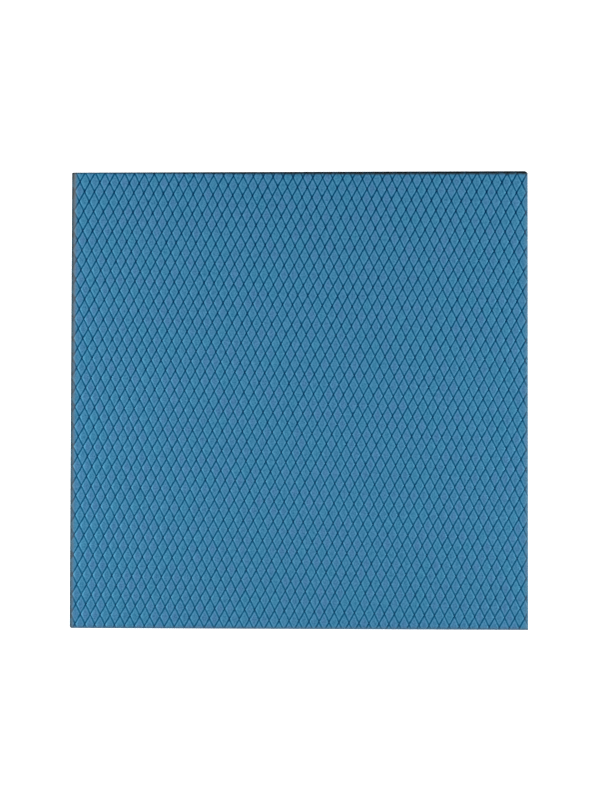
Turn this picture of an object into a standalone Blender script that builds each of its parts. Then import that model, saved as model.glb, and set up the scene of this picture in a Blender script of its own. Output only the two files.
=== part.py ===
"""A square sheet of soft thermal pad, lying flat.

The sheet is one piece of filled silicone rubber, cut from a larger one. Its foot is at z = 0 and the
origin is at the middle of its underside. +X is the sheet's right, +Y is its far edge and +Z is up. The
cutting left each corner a little different, rolled the upper edge over and softened the lower one.
All sizes are in metres.
"""

import math

import bmesh
import bpy

SHEET_WIDTH = 0.100
SHEET_LENGTH = 0.100
SHEET_THICKNESS = 0.001

# How far the cut leaves the edges rolled over, at the upper face and at the underside.
UPPER_EDGE_ROLL = 0.00040
LOWER_EDGE_ROLL = 0.00010

# Corner radii seen from above. Two corners are nearly sharp, and two are worn round.
FAR_LEFT_RADIUS = 0.00020
FAR_RIGHT_RADIUS = 0.00080
NEAR_LEFT_RADIUS = 0.00055
NEAR_RIGHT_RADIUS = 0.00012

# Flat steps that stand for a quarter turn.
CORNER_STEPS = 6
ROLL_STEPS = 5

# The blue of the silicone as linear values, and its satin finish.
PAD_COLOUR = (0.0423, 0.1878, 0.3371, 1.0)
PAD_ROUGHNESS = 0.55
PAD_METALLIC = 0.0

QUARTER_TURN = math.radians(90)
SMOOTH_UP_TO = math.radians(40)


def clear_scene():
    """Removes whatever the scene holds, such as the start-up cube, camera and lamp."""
    for obj in list(bpy.data.objects):
        bpy.data.objects.remove(obj, do_unlink=True)


def pad_material():
    """Blue filled silicone with a satin surface."""
    material = bpy.data.materials.new("blue_silicone")
    material.use_nodes = True
    shader = material.node_tree.nodes["Principled BSDF"]
    shader.inputs["Base Color"].default_value = PAD_COLOUR
    shader.inputs["Roughness"].default_value = PAD_ROUGHNESS
    shader.inputs["Metallic"].default_value = PAD_METALLIC
    material.diffuse_color = PAD_COLOUR
    return material


def corner_arc(side_x, side_y, radius, start):
    """Points of one rounded corner, anticlockwise from the angle where its arc starts."""
    centre_x = side_x * (SHEET_WIDTH / 2 - radius)
    centre_y = side_y * (SHEET_LENGTH / 2 - radius)
    arc = []
    for step in range(CORNER_STEPS + 1):
        angle = start + QUARTER_TURN * step / CORNER_STEPS
        arc.append((centre_x + radius * math.cos(angle), centre_y + radius * math.sin(angle)))
    return arc


def sheet_outline():
    """The cut outline from above: four straight sides between four corner arcs."""
    return (
        corner_arc(1, 1, FAR_RIGHT_RADIUS, 0)
        + corner_arc(-1, 1, FAR_LEFT_RADIUS, QUARTER_TURN)
        + corner_arc(-1, -1, NEAR_LEFT_RADIUS, 2 * QUARTER_TURN)
        + corner_arc(1, -1, NEAR_RIGHT_RADIUS, 3 * QUARTER_TURN)
    )


def edge_profile():
    """The side of the sheet from foot to top, as (distance in from the cut line, height) pairs."""
    # A roll is a fillet, so the two together can't be taller than the wall that they round.
    lower = min(LOWER_EDGE_ROLL, SHEET_THICKNESS / 4)
    upper = min(UPPER_EDGE_ROLL, SHEET_THICKNESS / 2)
    profile = []
    for step in range(ROLL_STEPS + 1):
        angle = QUARTER_TURN * step / ROLL_STEPS
        profile.append((lower * (1 - math.sin(angle)), lower * (1 - math.cos(angle))))
    for step in range(ROLL_STEPS + 1):
        angle = QUARTER_TURN * step / ROLL_STEPS
        inset = upper * (1 - math.cos(angle))
        profile.append((inset, SHEET_THICKNESS - upper * (1 - math.sin(angle))))
    return profile


def extrude_to(bm, face, rise, inset_from, inset_to):
    """Extrudes the face upwards and resizes it to its new distance in from the cut line."""
    made = bmesh.ops.extrude_face_region(bm, geom=[face, *face.edges])["geom"]
    points = [item for item in made if isinstance(item, bmesh.types.BMVert)]
    across = (SHEET_WIDTH - 2 * inset_to) / (SHEET_WIDTH - 2 * inset_from)
    along = (SHEET_LENGTH - 2 * inset_to) / (SHEET_LENGTH - 2 * inset_from)
    bmesh.ops.scale(bm, vec=(across, along, 1), verts=points)
    bmesh.ops.translate(bm, vec=(0, 0, rise), verts=points)
    return next(item for item in made if isinstance(item, bmesh.types.BMFace))


def pad_mesh():
    """The closed body of the sheet, raised ring by ring from its foot to its top face."""
    profile = edge_profile()
    bm = bmesh.new()
    foot_inset, foot_height = profile[0]
    corners = [bm.verts.new((x, y, foot_height)) for x, y in sheet_outline()]
    face = bm.faces.new(corners)
    across = 1 - 2 * foot_inset / SHEET_WIDTH
    along = 1 - 2 * foot_inset / SHEET_LENGTH
    bmesh.ops.scale(bm, vec=(across, along, 1), verts=corners)
    for (inset_from, low), (inset_to, high) in zip(profile, profile[1:]):
        face = extrude_to(bm, face, high - low, inset_from, inset_to)
    bmesh.ops.recalc_face_normals(bm, faces=bm.faces[:])
    mesh = bpy.data.meshes.new("thermal_pad")
    bm.to_mesh(mesh)
    bm.free()
    mesh.shade_smooth()
    mesh.set_sharp_from_angle(angle=SMOOTH_UP_TO)
    return mesh


def add_thermal_pad():
    """The sheet as one object, standing on z = 0."""
    pad = bpy.data.objects.new("thermal_pad", pad_mesh())
    pad.data.materials.append(pad_material())
    bpy.context.scene.collection.objects.link(pad)
    return pad


clear_scene()
add_thermal_pad()
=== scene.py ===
# %% [markdown]
# A thermal pad sheet
#
# A thermal pad is a soft sheet of silicone rubber, filled with ceramic powder so that it carries heat. It
# is squeezed between a warm chip and its heatsink. This lesson models one square sheet as it lies on a
# table. The sheet is a single piece, and its whole character is in the upper face: small diamonds, left
# by the embossed liner that the pad was rolled out on.
#
# The script runs in an empty scene. The imported CAD model comes first, as a fixed frame. It gives the
# sheet's real size and place, so nothing here is fitted by eye.

import math

import bmesh
import bpy
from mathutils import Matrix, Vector


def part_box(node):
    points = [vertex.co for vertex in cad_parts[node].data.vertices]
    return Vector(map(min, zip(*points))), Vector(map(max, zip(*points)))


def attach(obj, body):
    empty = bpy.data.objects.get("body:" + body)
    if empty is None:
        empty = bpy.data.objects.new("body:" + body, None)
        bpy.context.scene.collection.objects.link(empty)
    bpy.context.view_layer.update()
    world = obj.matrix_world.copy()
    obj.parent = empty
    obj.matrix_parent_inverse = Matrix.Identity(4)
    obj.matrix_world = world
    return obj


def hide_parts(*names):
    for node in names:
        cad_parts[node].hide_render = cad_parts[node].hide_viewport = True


MM = 0.001

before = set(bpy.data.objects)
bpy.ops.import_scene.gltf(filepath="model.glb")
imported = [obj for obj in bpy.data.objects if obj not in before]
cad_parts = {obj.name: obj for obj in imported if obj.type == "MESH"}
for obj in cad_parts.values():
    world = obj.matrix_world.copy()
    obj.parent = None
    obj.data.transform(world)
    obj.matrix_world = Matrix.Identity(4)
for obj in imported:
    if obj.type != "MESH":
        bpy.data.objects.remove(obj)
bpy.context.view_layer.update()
sheet_low, sheet_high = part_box("thermal_pad")
half_width = (sheet_high.x - sheet_low.x) / 2
half_length = (sheet_high.y - sheet_low.y) / 2
sheet_top = sheet_high.z
bpy.ops.object.select_all(action="DESELECT")
print("sheet, mm:", [round(side / MM, 3) for side in sheet_high - sheet_low])

# %% [markdown]
# The camera
#
# The photograph looks down on the sheet from almost straight above: its far side is only a little smaller
# than its near side, and its left side than its right. A camera could be turned by eye, but two small
# lean angles and a distance say the same in numbers that can be read. The camera starts straight over the
# point that it aims at, close to the middle of the sheet, and the three turns swing it about that point.

# %% Place the camera
CAMERA_DISTANCE = 0.60
CAMERA_LEANS = (math.radians(2.196), math.radians(2.592), math.radians(0.126))
CAMERA_AIM = Vector((0.295 * MM, -0.045 * MM, 0))
LENS_MM = 123.46

bpy.ops.object.camera_add()
camera = bpy.context.object
camera.name = "camera"
camera.rotation_euler = CAMERA_LEANS
camera.location = CAMERA_AIM + camera.rotation_euler.to_matrix() @ Vector((0, 0, CAMERA_DISTANCE))
camera.data.lens = LENS_MM
camera.data.clip_start = 0.01
camera.data.clip_end = 20
bpy.context.scene.camera = camera
print("camera at, mm:", [round(place / MM, 1) for place in camera.location])

# %% [markdown]
# The diamonds' grid
#
# The liner was embossed by a roller with two sets of straight ridges that cross. Each set leaves straight
# grooves in the pad, so the grid is two families of parallel lines. One diamond's width and length, and
# how far the sheet was turned when it was cut, fix them both: half of the two diagonals added, and half
# of their difference, are the diamond's sides.

# %% Work out the two families of grooves
DIAMOND_WIDTH = 2.175 * MM
DIAMOND_LENGTH = 4.308 * MM
WIDTH_TURN = math.radians(-1.61)
LENGTH_TURN = math.radians(-2.30)
# The crossing of two grooves that lies nearest to the middle of the sheet.
CROSSING = Vector((-0.041 * MM, -0.834 * MM, 0))

across = Vector((math.cos(WIDTH_TURN), math.sin(WIDTH_TURN), 0)) * DIAMOND_WIDTH
along = Vector((-math.sin(LENGTH_TURN), math.cos(LENGTH_TURN), 0)) * DIAMOND_LENGTH
rising_side = (along + across) / 2
falling_side = (across - along) / 2


def groove_family(side, step):
    """(unit normal, spacing) of the grooves that run along side, one step apart."""
    normal = Vector((side.y, -side.x, 0)).normalized()
    spacing = step.dot(normal)
    return (normal, spacing) if spacing > 0 else (-normal, -spacing)


rising_grooves = groove_family(rising_side, falling_side)
falling_grooves = groove_family(falling_side, rising_side)
for name, (normal, spacing) in (("rising", rising_grooves), ("falling", falling_grooves)):
    print(name, "grooves are", round(spacing / MM, 3), "mm apart")

# %% [markdown]
# Rolling out the blank
#
# On the real line the pad is rolled much wider than one sheet, embossed, and only then cut. The model is
# made in that order too, because the cut then runs through whole diamonds and leaves their true part
# shapes along the edge. A plane a little larger than the sheet is set at the height of the groove floors.
# Bisecting it once for each groove leaves one face for each diamond.

# %% Bisect a plane into diamonds
GROOVE_DEPTH = 0.14 * MM
BLANK_MARGIN = 6 * MM
# Points that lie closer together than this are one point.
ONE_POINT = 1e-7

blank_size = 2 * (half_width + BLANK_MARGIN)
bpy.ops.mesh.primitive_plane_add(size=blank_size, location=(0, 0, sheet_top - GROOVE_DEPTH))
pad = bpy.context.object
pad.name = "embossed_pad"
bpy.ops.object.transform_apply(location=True, rotation=True, scale=True)
bpy.ops.object.mode_set(mode="EDIT")


def score(place, normal, cut_away=False):
    """Cuts straight through the whole mesh, and takes away what lies past the cut if asked to."""
    bpy.ops.mesh.select_all(action="SELECT")
    bpy.ops.mesh.bisect(plane_co=place, plane_no=normal, threshold=ONE_POINT, clear_outer=cut_away)


for normal, spacing in (rising_grooves, falling_grooves):
    reach = blank_size / 2 * (abs(normal.x) + abs(normal.y))
    count = int(reach / spacing) + 1
    for number in range(-count, count + 1):
        score(CROSSING + normal * spacing * number, normal)
    print("scored", 2 * count + 1, "grooves")
print("faces in the blank:", len(bmesh.from_edit_mesh(pad.data).faces))

# %% [markdown]
# Pressing the grooves
#
# A groove in soft rubber has a narrow floor, a steep wall and a rounded shoulder. Insetting each face by
# itself, and raising it a little each time, walks up that section from the floor to the top of the
# diamond. The last step is wide and low, and gives the diamond a faint crown, so that the light doesn't
# lie on it as on glass.

# %% Inset every diamond up to its crown
# Each pair is how far the step goes in from the groove and how far it rises.
GROOVE_SECTION = (
    (0.060 * MM, 0.005 * MM),
    (0.090 * MM, 0.038 * MM),
    (0.130 * MM, 0.056 * MM),
    (0.120 * MM, 0.030 * MM),
    (0.200 * MM, 0.011 * MM),
)

bpy.ops.mesh.select_all(action="SELECT")
for step_in, step_up in GROOVE_SECTION:
    bpy.ops.mesh.inset(thickness=step_in, depth=step_up, use_individual=True)
print("faces after the emboss:", len(bmesh.from_edit_mesh(pad.data).faces))

# %% [markdown]
# Cutting the sheet
#
# The sheet is cut out with four straight strokes. Each corner is a little different on the real one: two
# are almost sharp, two are worn round. A round corner is a fan of small cuts, each touching the corner's
# arc. More scores just inside the edge cut nothing away. They only add points for the rolled edge to bend
# along.

# %% Cut the outline and its corners
CORNER_CUTS = 5
ROLL_RADIUS = 0.40 * MM
ROLL_STEPS = 5
# Each corner has its side in x and in y, and its radius.
CORNERS = (
    (1, 1, 0.80 * MM),
    (-1, 1, 0.20 * MM),
    (-1, -1, 0.55 * MM),
    (1, -1, 0.12 * MM),
)
# Each side has its outward direction, and how far out it lies.
SIDES = ((Vector((1, 0, 0)), half_width), (Vector((-1, 0, 0)), half_width),
         (Vector((0, 1, 0)), half_length), (Vector((0, -1, 0)), half_length))

for outward, reach in SIDES:
    score(outward * reach, outward, cut_away=True)
for side_x, side_y, radius in CORNERS:
    centre = Vector((side_x * (half_width - radius), side_y * (half_length - radius), 0))
    for cut in range(CORNER_CUTS):
        angle = math.radians(90) * (cut + 0.5) / CORNER_CUTS
        outward = Vector((side_x * math.cos(angle), side_y * math.sin(angle), 0))
        score(centre + outward * radius, outward, cut_away=True)
for outward, reach in SIDES:
    for step in range(1, ROLL_STEPS + 1):
        inset = ROLL_RADIUS * (1 - math.cos(math.radians(90) * step / ROLL_STEPS))
        score(outward * (reach - inset), outward)
print("faces in the cut sheet:", len(bmesh.from_edit_mesh(pad.data).faces))

# %% [markdown]
# Rolling the edge over
#
# A blade drags the soft rubber down as it cuts, so the upper edge rolls over in a quarter round and the
# grooves shut as they run into it. Each point knows how far in from the cut it lies, so it can be lowered
# by the round there and lose its share of the groove's depth.

# %% Roll the upper edge
# This far in from the cut, the grooves have their full depth.
GROOVES_OPEN_BY = 0.75 * MM


def distance_in(x, y):
    """How far a point lies in from the cut line, round corners included."""
    for side_x, side_y, radius in CORNERS:
        past_x = side_x * x - (half_width - radius)
        past_y = side_y * y - (half_length - radius)
        if past_x > 0 and past_y > 0:
            return radius - math.hypot(past_x, past_y)
    return min(half_width - abs(x), half_length - abs(y))


def roll_drop(inset):
    """How far the rolled edge lies under the sheet's top, that far in from the cut."""
    short = ROLL_RADIUS - min(max(inset, 0), ROLL_RADIUS)
    return ROLL_RADIUS - math.sqrt(ROLL_RADIUS**2 - short**2)


def smooth_step(value):
    """0 to 1 with soft ends."""
    value = min(max(value, 0), 1)
    return value * value * (3 - 2 * value)


bpy.ops.object.mode_set(mode="OBJECT")
for point in pad.data.vertices:
    inset = distance_in(point.co.x, point.co.y)
    groove = sheet_top - point.co.z
    point.co.z = sheet_top - roll_drop(inset) - groove * smooth_step(inset / GROOVES_OPEN_BY)
print("edge height, mm:", round(min(point.co.z for point in pad.data.vertices) / MM, 3))

# %% [markdown]
# The cut side and the underside
#
# Below the roll the cut is a plain wall, and the underside lies flat on its smooth liner. The open edge
# of the mesh is extruded down ring by ring and flattened at each height, and the last ring is filled.

# %% Extrude the wall and close the underside
LOWER_ROLL = 0.10 * MM
# Each pair is how far in from the cut the ring lies and its height.
WALL_RINGS = ((0, 0.35 * MM), (0, LOWER_ROLL), (0.3 * LOWER_ROLL, 0.3 * LOWER_ROLL), (LOWER_ROLL, 0))

bpy.ops.object.mode_set(mode="EDIT")
bpy.ops.mesh.select_mode(type="VERT")
bpy.ops.mesh.select_all(action="DESELECT")
bpy.ops.mesh.select_non_manifold(extend=False)
last_inset = 0
for inset, height in WALL_RINGS:
    bpy.ops.mesh.extrude_region_move()
    shrink_x = (half_width - inset) / (half_width - last_inset)
    shrink_y = (half_length - inset) / (half_length - last_inset)
    bpy.ops.transform.resize(value=(shrink_x, shrink_y, 0), center_override=(0, 0, height))
    last_inset = inset
bpy.ops.mesh.edge_face_add()
bpy.ops.mesh.select_all(action="SELECT")
bpy.ops.mesh.remove_doubles(threshold=ONE_POINT)
bpy.ops.mesh.normals_make_consistent(inside=False)
bpy.ops.object.mode_set(mode="OBJECT")
bpy.ops.object.shade_smooth_by_angle(angle=math.radians(50))
# The underside is one wide flat face, and smooth shading would bend the light right across it.
for face in pad.data.polygons:
    if face.normal.z < -0.99:
        face.use_smooth = False
pad.data.calc_loop_triangles()
print("triangles in the pad:", len(pad.data.loop_triangles))

# %% [markdown]
# The pad's material
#
# The sheet is silicone rubber, filled with alumina powder and calendered: it was rolled to its thickness
# between liners and cured. That gives a solid, slightly waxy blue with no clear coat: a broad soft
# highlight and no mirror, and a fine mottle where the powder lies thicker. Colours are kept as the hex
# values that a picture program shows, so one function turns them to the linear values that a shader
# needs. One more adds a node.

# %% Start the blue silicone


def linear(hex_colour):
    """An sRGB hex colour as the linear values that a shader takes."""
    channels = [int(hex_colour[place:place + 2], 16) / 255 for place in (1, 3, 5)]
    return (*[c / 12.92 if c <= 0.04045 else ((c + 0.055) / 1.055) ** 2.4 for c in channels], 1)


def add_node(kind, *values, **settings):
    """Adds a node, fills its open inputs in turn with values or outputs, and gives its first output."""
    node = silicone.node_tree.nodes.new("ShaderNode" + kind)
    for name, setting in settings.items():
        setattr(node, name, setting)
    for socket, value in zip([socket for socket in node.inputs if socket.enabled], values):
        if isinstance(value, bpy.types.NodeSocket):
            silicone.node_tree.links.new(value, socket)
        elif value is not None:
            socket.default_value = value
    return next(socket for socket in node.outputs if socket.enabled)


# Alumina filled silicone rubber, calendered: opaque, satin, with the low index of silicone.
silicone = bpy.data.materials.new("calendered_blue_silicone")
silicone.use_nodes = True
shader = silicone.node_tree.nodes["Principled BSDF"]
shader.inputs["IOR"].default_value = 1.41
# The powder breaks the surface up, so that it shines less than clear silicone of the same index, and what
# shines is part blue, because some of it has gone through the skin and back.
shader.inputs["Specular IOR Level"].default_value = 0.48
shader.inputs["Specular Tint"].default_value = linear("#80E0FF")
place = add_node("TexCoord").node.outputs["Object"]
print("a diamond's mean blue, linear:", [round(channel, 3) for channel in linear("#407FA4")[:3]])

# %% [markdown]
# Where the grooves are
#
# The shader must know where the grooves lie, because they are painted darker than their shape alone makes
# them: painted shade for the light that loses its way in a deep narrow groove. A point's place along a
# family's normal, folded back and forth over half the spacing, is its distance to the nearest groove. A
# little noise is added to it, so that a groove is here wider and there narrower. Bands of that distance
# then give the groove's painted shade, a painted highlight on its rim, and the painted shade beside it
# that takes out red. The row that a point lies in comes from the same number.

# %% Measure the distance to the nearest groove
WANDER = 0.05 * MM
# A noise seldom leaves this range.
NOISE_LOW = 0.3
NOISE_HIGH = 0.7

# After its place, a noise takes one over the size of its patches, how many finer layers it has and how
# strong they are.
wander = add_node("TexNoise", place, 1 / (0.9 * MM), 2, 0.6)
wander = add_node("MapRange", wander, NOISE_LOW, NOISE_HIGH, -WANDER, WANDER)
grooves = []
near = []
shade_reds_lost = []
rim_highlights = []
rows = []
for normal, spacing in (rising_grooves, falling_grooves):
    along_normal = add_node("VectorMath", place, normal, operation="DOT_PRODUCT")
    from_crossing = add_node("Math", along_normal, CROSSING.dot(normal), operation="SUBTRACT")
    distance = add_node("Math", from_crossing, spacing / 2, operation="PINGPONG")
    wandering = add_node("Math", distance, wander, operation="ADD")
    # Each band is full up to its first distance from the middle of the groove, and gone at its second.
    for bands, inset, full, end in ((grooves, wandering, 0.05 * MM, 0.30 * MM),
                                    (near, wandering, 0.10 * MM, 0.38 * MM),
                                    (shade_reds_lost, wandering, 0.15 * MM, 0.34 * MM),
                                    (rim_highlights, distance, 0.24 * MM, 0.54 * MM)):
        bands.append(add_node("MapRange", inset, full, end, 1, 0, interpolation_type="SMOOTHSTEP"))
    row = add_node("Math", from_crossing, spacing, operation="DIVIDE")
    rows.append(add_node("Math", row, operation="FLOOR"))
print("nodes that find one family or the other:", len(silicone.node_tree.nodes))

# %% [markdown]
# Joining the two families
#
# So far each family of grooves has masks of its own. The stronger of the two, at each point, is the mask
# of all the grooves, so that it doesn't add up where they meet. Where two grooves cross, the painted shade
# is wider and darker, so the crossings get one more mask: two wide bands multiplied, which is full only
# where both are.

# %% Join the masks of the two families
# The falling grooves get a little less painted shade than the rising ones.
FALLING_SHADE_STRENGTH = 0.90

falling = add_node("Math", grooves[1], FALLING_SHADE_STRENGTH, operation="MULTIPLY")
crossing = add_node("Math", near[0], near[1], operation="MULTIPLY")
groove = add_node("Math", falling, crossing, operation="MAXIMUM")
groove = add_node("Math", grooves[0], groove, operation="MAXIMUM")
shade_red_lost = add_node("Math", shade_reds_lost[0], shade_reds_lost[1], operation="MAXIMUM")
rim_highlight = add_node("Math", rim_highlights[0], rim_highlights[1], operation="ADD", use_clamp=True)
print("nodes with both families joined:", len(silicone.node_tree.nodes))

# %% [markdown]
# Where the edges are
#
# The emboss belongs to the upper face alone, and it runs out just before the cut, so the masks of the
# grooves fade there. Half the sheet's size, with x or y added to it or taken from it, is the distance in
# from each side. The smallest of the four is the distance in from the cut.

# %% Measure the distance to each cut
# The grooves' painted shade is a little weaker towards the near end of the sheet.
NEAR_END_SHADE_STRENGTH = 0.90

x_place, y_place, z_place = add_node("SeparateXYZ", place).node.outputs
left_in = add_node("Math", x_place, half_width, operation="ADD")
right_in = add_node("Math", half_width, x_place, operation="SUBTRACT")
near_in = add_node("Math", y_place, half_length, operation="ADD")
far_in = add_node("Math", half_length, y_place, operation="SUBTRACT")
side_in = add_node("Math", left_in, right_in, operation="MINIMUM")
end_in = add_node("Math", near_in, far_in, operation="MINIMUM")
cut_in = add_node("Math", side_in, end_in, operation="MINIMUM")
cut_face = add_node("MapRange", cut_in, 0.02 * MM, 0.15 * MM, 1, 0)

# The emboss ends where the rolled edge meets the wall. The grooves run out right at the cut, but on the
# left a little before it.
upper = add_node("MapRange", z_place, 0.45 * MM, 0.60 * MM, 0, 1)
left_run_out = add_node("MapRange", left_in, 0.25 * MM, 0.65 * MM, 0, 1)
embossed = add_node("MapRange", cut_in, 0.05 * MM, 0.40 * MM, 0, 1)
embossed = add_node("Math", embossed, left_run_out, operation="MINIMUM")
embossed = add_node("Math", embossed, upper, operation="MULTIPLY")
groove = add_node("Math", groove, embossed, operation="MULTIPLY")
shade_red_lost = add_node("Math", shade_red_lost, embossed, operation="MULTIPLY")
rim_highlight = add_node("Math", rim_highlight, embossed, operation="MULTIPLY")
groove_shade_strength = add_node("MapRange", y_place, -half_length, half_length, NEAR_END_SHADE_STRENGTH, 1)
groove = add_node("Math", groove, groove_shade_strength, operation="MULTIPLY")
print("nodes with the edges:", len(silicone.node_tree.nodes))

# %% [markdown]
# The diamonds' own blue
#
# Each diamond was pressed a little differently, so some look greener and some more violet. A random value
# for each pair of rows gives every diamond its own tint, and a slow drift makes neighbours alike. Each
# tint has a deep and a pale blue, and the mottle of the powder goes from one to the other.

# %% Mix the diamonds' blue
DRIFT = 0.3

diamond = add_node("CombineXYZ", rows[0], rows[1], 0)
own_tint = add_node("TexWhiteNoise", diamond)
drift = add_node("TexNoise", place, 1 / (6 * MM), 2, 0.5)
drift = add_node("MapRange", drift, NOISE_LOW, NOISE_HIGH, -DRIFT, DRIFT)
tint = add_node("Math", own_tint, drift, operation="ADD")
deep = add_node("Mix", tint, linear("#176289"), linear("#255F89"), data_type="RGBA")
pale = add_node("Mix", tint, linear("#4D92B4"), linear("#588DB7"), data_type="RGBA")

# The powder's clusters are 0.1 mm wide. They are drawn at 0.3 mm, so that they show in a picture of the
# whole. Their range is wider than a noise's own, which keeps them soft.
mottle = add_node("TexNoise", place, 1 / (0.3 * MM), 2, 0.6)
mottle = add_node("MapRange", mottle, 0.25, 0.75, 0, 1)
colour = add_node("Mix", mottle, deep, pale, data_type="RGBA")
print("nodes with the blue:", len(silicone.node_tree.nodes))

# %% [markdown]
# Rims and grooves
#
# The rims of the diamonds get a painted highlight. Beside a groove a band of painted shade takes out the
# red first, as light that goes in at the wall, travels through the blue silicone and comes out in the
# groove loses its red before the rest. That band is wider than the groove itself, which keeps the groove
# from looking grey. The groove's painted shade comes last, and is darkest where two grooves cross.

# %% Lay the painted rim highlights and groove shade over it
RIM_HIGHLIGHT_STRENGTH = 0.45
SHADE_RED_LOSS = 0.45

# The rims' painted highlight.
rim_highlight = add_node("Math", rim_highlight, RIM_HIGHLIGHT_STRENGTH, operation="MULTIPLY")
colour = add_node("Mix", rim_highlight, colour, linear("#629FC5"), data_type="RGBA")
# Painted shade beside the grooves, which takes out red first.
shade_red_lost = add_node("Math", shade_red_lost, SHADE_RED_LOSS, operation="MULTIPLY")
colour = add_node("Mix", shade_red_lost, colour, linear("#00FFFF"), data_type="RGBA", blend_type="MULTIPLY")
# The grooves' painted shade: a deep blue, darker still at the crossings.
groove_shade_blue = add_node("Mix", crossing, linear("#00466D"), linear("#002C54"), data_type="RGBA")
colour = add_node("Mix", groove, colour, groove_shade_blue, data_type="RGBA")
print("nodes with the rims and the grooves:", len(silicone.node_tree.nodes))

# %% [markdown]
# The painted shade along the cuts
#
# Every cut edge is darkened with painted shade: nearly black along the far side, grey along the left,
# and only a breath of it along the near and the right side. It is strongest at the upper lip, and fades
# down the cut face and in over the diamonds. The cut face itself is dull, because the powder lies open
# there.

# %% Lay the painted shade along the four cuts
PATCHINESS = 0.1
DULLNESS = 0.3

lip_shade_height = add_node("MapRange", z_place, 0.20 * MM, 0.70 * MM, 0, 1, interpolation_type="SMOOTHSTEP")
patches = add_node("TexNoise", place, 1 / (1.5 * MM), 2, 0.5)
patches = add_node("MapRange", patches, NOISE_LOW, NOISE_HIGH, 1 - PATCHINESS, 1 + PATCHINESS)
# The far side's painted shade widens to the right, and stays the same over the last third of the side.
far_run = add_node("Math", x_place, 16 * MM, operation="MINIMUM")
# Each band of painted shade has its side's distance in and the way along that side, how far in it is full
# and where it ends in the middle of the side, how fast it widens along the way, how strong it is, and its
# colours at the lip and further in.
for inset, run, full, end, growth, strength, lip, inner in (
        (right_in, y_place, 0.15 * MM, 0.95 * MM, -0.001, 0.34, "#4C4E50", "#808688"),
        (near_in, x_place, 0.20 * MM, 0.80 * MM, 0, 0.34, "#5C5856", "#605C5A"),
        (left_in, y_place, 0.20 * MM, 1.30 * MM, 0.003, 0.92, "#22201E", "#787876"),
        (far_in, far_run, 0.32 * MM, 0.92 * MM, 0.008, 0.98, "#060606", "#30363A")):
    edge_wander = add_node("Math", inset, wander, operation="ADD")
    widened = add_node("Math", run, -growth, edge_wander, operation="MULTIPLY_ADD")
    edge_shade = add_node("MapRange", widened, full, end, strength, 0, interpolation_type="SMOOTHSTEP")
    edge_shade = add_node("Math", edge_shade, patches, operation="MULTIPLY", use_clamp=True)
    edge_shade = add_node("Math", edge_shade, lip_shade_height, operation="MULTIPLY")
    deeper_in = add_node("MapRange", inset, full, (full + end) / 2, 0, 1)
    edge_shade_colour = add_node("Mix", deeper_in, linear(lip), linear(inner), data_type="RGBA")
    colour = add_node("Mix", edge_shade, colour, edge_shade_colour, data_type="RGBA")
dull = add_node("Math", cut_face, DULLNESS, operation="MULTIPLY")
colour = add_node("Mix", dull, colour, linear("#5F7B88"), data_type="RGBA")
silicone.node_tree.links.new(colour, shader.inputs["Base Color"])
print("nodes with the film:", len(silicone.node_tree.nodes))

# %% [markdown]
# Grain and satin
#
# Under a lens the face isn't smooth: the liner's matt film left a fine grain, and the blade left drag
# marks down the cut face. Both are far shallower than the emboss, so a bump is enough for them. The
# diamonds are satin, a little smoother where they are paler, and the oil in the grooves makes those
# glossier than the rest.

# %% Add the grain and the satin
GRAIN_HEIGHT = 0.004 * MM
BUMP_STRENGTH = 0.5
DEEP_ROUGHNESS = 0.44
PALE_ROUGHNESS = 0.36
OILY_ROUGHNESS = 0.20

# The film's grain is 0.05 mm wide and is drawn at 0.12 mm.
grain = add_node("TexNoise", place, 1 / (0.12 * MM), 2, 0.6)
drag_place = add_node("Mapping", place, None, None, (1, 1, 0.06))
drag = add_node("TexNoise", drag_place, 1 / (0.08 * MM), 2, 0.6)
drag = add_node("Math", drag, 2, operation="MULTIPLY")
height = add_node("Mix", cut_face, grain, drag, data_type="FLOAT")
bump = add_node("Bump", BUMP_STRENGTH, GRAIN_HEIGHT, None, height)
silicone.node_tree.links.new(bump, shader.inputs["Normal"])
roughness = add_node("MapRange", mottle, 0, 1, DEEP_ROUGHNESS, PALE_ROUGHNESS)
roughness = add_node("Mix", groove, roughness, OILY_ROUGHNESS, data_type="FLOAT")
silicone.node_tree.links.new(roughness, shader.inputs["Roughness"])
pad.data.materials.clear()
pad.data.materials.append(silicone)
print("nodes in the material:", len(silicone.node_tree.nodes))

# %% [markdown]
# Hand the piece over
#
# The finished sheet rides on the part's only body and stands in for the plain CAD solid.

# %% Say what the piece is
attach(pad, "root")
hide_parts("thermal_pad")
print(pad.name, "stands in for thermal_pad")

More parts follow.
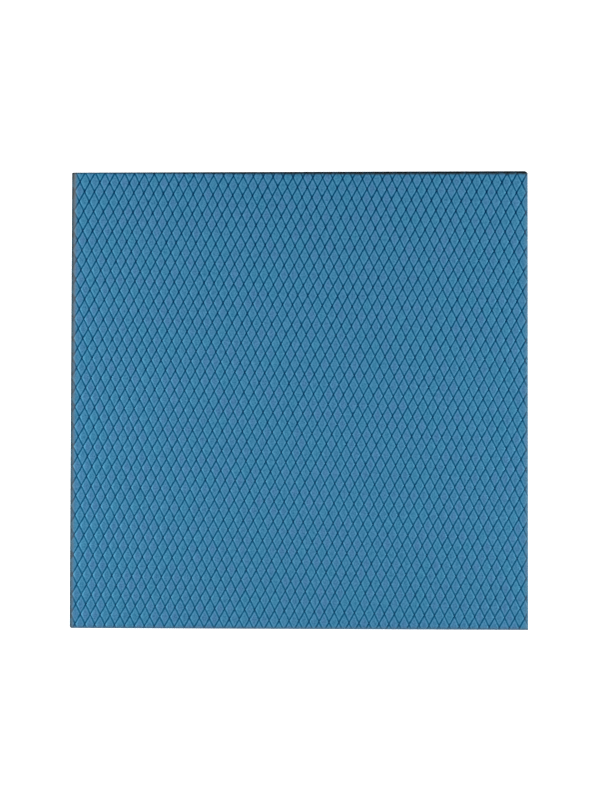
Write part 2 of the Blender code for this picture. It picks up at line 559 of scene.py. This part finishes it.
# %% [markdown]
# The table
#
# The photograph was taken on a bright light table, so its ground is pure white and holds no shadow. The
# floor here is white acrylic that glows a little for the same reason. It reaches far out, so that a low
# view sees no end of it, and it lies a hair under the sheet, because two faces in one plane would show
# through each other.

# %% Add the light table
TABLE_SIZE = 20
TABLE_GAP = 0.02 * MM
WHITE = (1, 1, 1, 1)

bpy.ops.object.select_all(action="DESELECT")
bpy.ops.mesh.primitive_plane_add(size=TABLE_SIZE, location=(0, 0, -TABLE_GAP))
floor = bpy.context.object
floor.name = "light_table"
acrylic = bpy.data.materials.new("white_acrylic")
acrylic.use_nodes = True
acrylic_shader = acrylic.node_tree.nodes["Principled BSDF"]
acrylic_shader.inputs["Base Color"].default_value = linear("#F4F4F4")
acrylic_shader.inputs["Roughness"].default_value = 0.8
acrylic_shader.inputs["Emission Color"].default_value = WHITE
acrylic_shader.inputs["Emission Strength"].default_value = 0.8
floor.data.materials.append(acrylic)
print("table, m:", TABLE_SIZE)

# %% [markdown]
# The lamps
#
# The diamonds' rims show how the sheet was lit. At the left they are brighter on the left, at the right
# on the right, and at the top and the bottom on the side towards the middle. That is a copy stand: two
# lamps, low and near, one at each side, with soft light from all round to fill in.

# %% Add the lamps and the fill
LAMP_OUT = 0.28
LAMP_Y = -0.01
LAMP_HEIGHT = 0.23
LAMP_SIZE = 0.16
FILL_STRENGTH = 0.10

for name, side, power in (("left_lamp", -1, 1.07), ("right_lamp", 1, 0.97)):
    bpy.ops.object.light_add(type="AREA", location=(side * LAMP_OUT, LAMP_Y, LAMP_HEIGHT))
    lamp = bpy.context.object
    lamp.name = name
    lamp.data.size = LAMP_SIZE
    lamp.data.energy = power
    lamp.rotation_euler = (-lamp.location).to_track_quat("-Z", "Y").to_euler()
    print(lamp.name, "stands", round(lamp.location.length, 3), "m from the sheet")

world = bpy.data.worlds.new("studio")
bpy.context.scene.world = world
world.use_nodes = True
world.node_tree.nodes["Background"].inputs["Color"].default_value = WHITE
world.node_tree.nodes["Background"].inputs["Strength"].default_value = FILL_STRENGTH
bpy.context.scene.view_settings.view_transform = "Standard"
